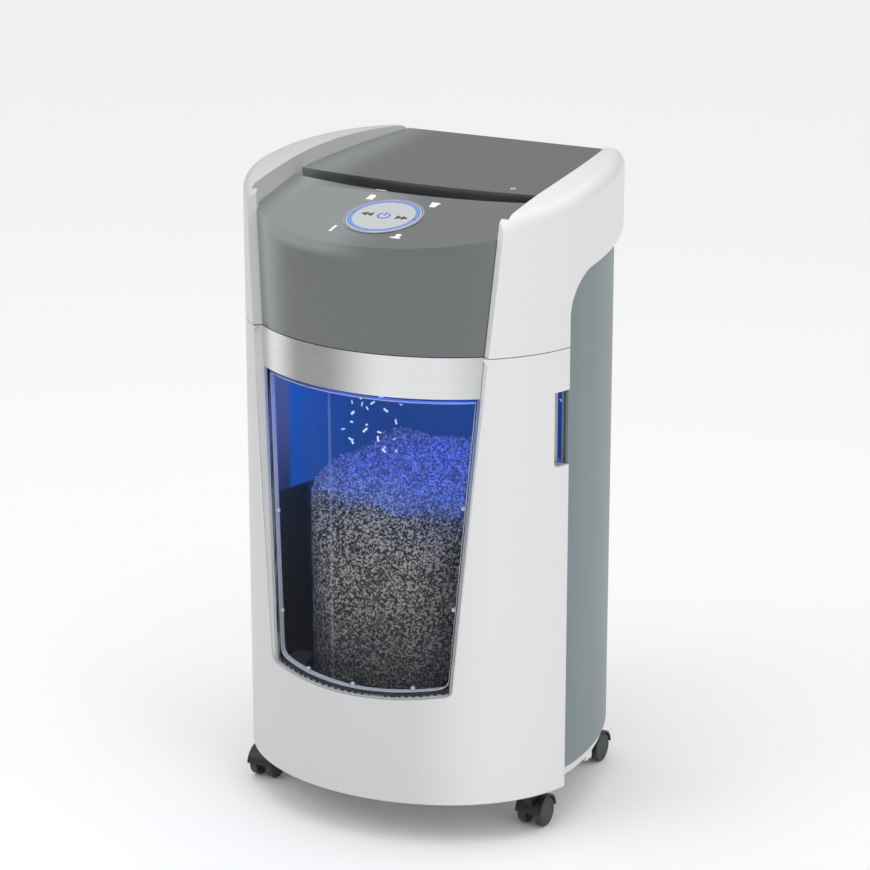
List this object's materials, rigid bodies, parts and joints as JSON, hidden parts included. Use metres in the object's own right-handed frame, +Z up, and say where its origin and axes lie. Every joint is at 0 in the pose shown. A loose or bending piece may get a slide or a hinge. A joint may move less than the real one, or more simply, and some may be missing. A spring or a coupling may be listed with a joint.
{
  "type": "paper shredder",
  "caption": "Free-standing office paper shredder: curved white shell, dark console with a control disc, feed slot, cutter block, pull-out windowed drawer with a clear bin, castors.",
  "frame": {"origin": "on the floor, at the middle of the outer box", "axes": "+Z up, +Y towards the flat back, -Y towards the window and console, +X to the user's right"},
  "size_m": [0.39, 0.355, 0.7006],
  "materials": {
    "shell_white": "gloss",
    "cover_grey": "satin",
    "console_grey": "satin metallic",
    "band_silver": "satin metallic",
    "pane": "clear",
    "bin_clear": "clear",
    "black_plastic": "matte",
    "grey_plastic": "satin",
    "liner_dark": "matte",
    "steel": "brushed",
    "zinc": "plated",
    "gear_nylon": "satin",
    "board_green": "satin",
    "light_blue": "diffusing",
    "wheel_grey": "matte"
  },
  "bodies": {
    "cabinet": {"arm_left": "shell_white", "arm_right": "shell_white", "base_plate": "shell_white", "castor_stems": "zinc", "control_board": "board_green", "cutter_bearings": "zinc", "cutter_plate_left": "zinc", "cutter_plate_right": "zinc", "disc_bezel": "band_silver", "fixed_rails": "zinc", "front_console": "console_grey", "gear_cover": "black_plastic", "head_tray": "black_plastic", "idler_axle": "steel", "inner_liner": "liner_dark", "interlock_switch": "black_plastic", "led_lamp": "light_blue", "mains_inlet": "black_plastic", "motor_body": "steel", "paper_guide_front": "steel", "paper_guide_rear": "steel", "power_board": "board_green", "rear_cover": "cover_grey", "rear_deck": "console_grey", "screws": "zinc", "status_lenses": "light_blue", "stripper_combs": "black_plastic", "switch_housing": "black_plastic", "tie_rods": "zinc"},
    "cutter_rear_shaft": {"cutter_rear": "steel", "sync_gear_rear": "steel", "drive_gear": "steel"},
    "cutter_front_shaft": {"cutter_front": "steel", "sync_gear_front": "steel"},
    "idler": {"idler_gear": "gear_nylon"},
    "motor_rotor": {"motor_rotor": "steel", "motor_fan": "black_plastic"},
    "disc_plunger": {"disc_carrier": "black_plastic"},
    "disc": {"control_disc": "console_grey", "light_ring": "light_blue"},
    "rocker": {"switch_rocker": "black_plastic"},
    "drawer": {"drawer_shell": "shell_white", "silver_band": "band_silver", "window_pane": "pane", "window_gasket": "black_plastic", "pull_cups": "grey_plastic", "drawer_floor": "grey_plastic", "drawer_sides": "liner_dark", "drawer_shelf": "grey_plastic", "moving_rails": "zinc"},
    "rail_middles": {"middle_rails": "zinc"},
    "bin": {"waste_bin": "bin_clear"},
    "swivel_front_left": {"castor_hood_front_left": "black_plastic"},
    "wheels_front_left": {"castor_wheels_front_left": "wheel_grey"},
    "swivel_front_right": {"castor_hood_front_right": "black_plastic"},
    "wheels_front_right": {"castor_wheels_front_right": "wheel_grey"},
    "swivel_rear_left": {"castor_hood_rear_left": "black_plastic"},
    "wheels_rear_left": {"castor_wheels_rear_left": "wheel_grey"},
    "swivel_rear_right": {"castor_hood_rear_right": "black_plastic"},
    "wheels_rear_right": {"castor_wheels_rear_right": "wheel_grey"}
  },
  "joints": [
    {"name": "drawer_slide", "type": "slide", "parent": "cabinet", "child": "drawer", "axis": [0, -1, 0], "range_m": [0, 0.28]},
    {"name": "rail_middle_slide", "type": "slide", "parent": "cabinet", "child": "rail_middles", "axis": [0, -1, 0], "range_m": [0, 0.14]},
    {"name": "bin_lift", "type": "slide", "parent": "drawer", "child": "bin", "axis": [0, 0, 1], "range_m": [0, 0.04]},
    {"name": "disc_press", "type": "slide", "parent": "cabinet", "child": "disc_plunger", "axis": [0, 0.2062, -0.9785], "range_m": [0, 0.001], "stiffness_N_per_m": 2500},
    {"name": "disc_rock", "type": "hinge", "parent": "disc_plunger", "child": "disc", "pos_m": [0, -0.09456, 0.65777], "axis": [0, 0.9785, 0.2062], "range_deg": [-2.5, 2.5], "stiffness_Nm_per_rad": 1.2},
    {"name": "cutter_rear_spin", "type": "hinge", "parent": "cabinet", "child": "cutter_rear_shaft", "pos_m": [0, -0.022, 0.587], "axis": [1, 0, 0], "continuous": true},
    {"name": "cutter_front_spin", "type": "hinge", "parent": "cabinet", "child": "cutter_front_shaft", "pos_m": [0, -0.056, 0.587], "axis": [1, 0, 0], "continuous": true},
    {"name": "idler_spin", "type": "hinge", "parent": "cabinet", "child": "idler", "pos_m": [0.13, 0.01879, 0.59761], "axis": [1, 0, 0], "continuous": true},
    {"name": "motor_spin", "type": "hinge", "parent": "cabinet", "child": "motor_rotor", "pos_m": [0.1, 0.048, 0.628], "axis": [1, 0, 0], "continuous": true},
    {"name": "rocker_tip", "type": "hinge", "parent": "cabinet", "child": "rocker", "pos_m": [-0.024, 0.17, 0.59], "axis": [1, 0, 0], "range_deg": [-16, 0]},
    {"name": "swivel_front_left", "type": "hinge", "parent": "cabinet", "child": "swivel_front_left", "pos_m": [-0.16, -0.069, 0.041], "axis": [0, 0, 1], "continuous": true},
    {"name": "wheels_front_left", "type": "hinge", "parent": "swivel_front_left", "child": "wheels_front_left", "pos_m": [-0.16, -0.083, 0.016], "axis": [1, 0, 0], "continuous": true},
    {"name": "swivel_front_right", "type": "hinge", "parent": "cabinet", "child": "swivel_front_right", "pos_m": [0.162, -0.069, 0.041], "axis": [0, 0, 1], "continuous": true},
    {"name": "wheels_front_right", "type": "hinge", "parent": "swivel_front_right", "child": "wheels_front_right", "pos_m": [0.162, -0.055, 0.016], "axis": [1, 0, 0], "continuous": true},
    {"name": "swivel_rear_left", "type": "hinge", "parent": "cabinet", "child": "swivel_rear_left", "pos_m": [-0.138, 0.118, 0.041], "axis": [0, 0, 1], "continuous": true},
    {"name": "wheels_rear_left", "type": "hinge", "parent": "swivel_rear_left", "child": "wheels_rear_left", "pos_m": [-0.138, 0.132, 0.016], "axis": [1, 0, 0], "continuous": true},
    {"name": "swivel_rear_right", "type": "hinge", "parent": "cabinet", "child": "swivel_rear_right", "pos_m": [0.138, 0.118, 0.041], "axis": [0, 0, 1], "continuous": true},
    {"name": "wheels_rear_right", "type": "hinge", "parent": "swivel_rear_right", "child": "wheels_rear_right", "pos_m": [0.138, 0.132, 0.016], "axis": [1, 0, 0], "continuous": true}
  ],
  "couplings": [
    {"joint": "rail_middle_slide", "follows": "drawer_slide", "ratio": 0.5},
    {"joint": "cutter_front_spin", "follows": "cutter_rear_spin", "ratio": -1},
    {"joint": "idler_spin", "follows": "cutter_rear_spin", "ratio": -3.6667},
    {"joint": "motor_spin", "follows": "cutter_rear_spin", "ratio": 22}
  ]
}
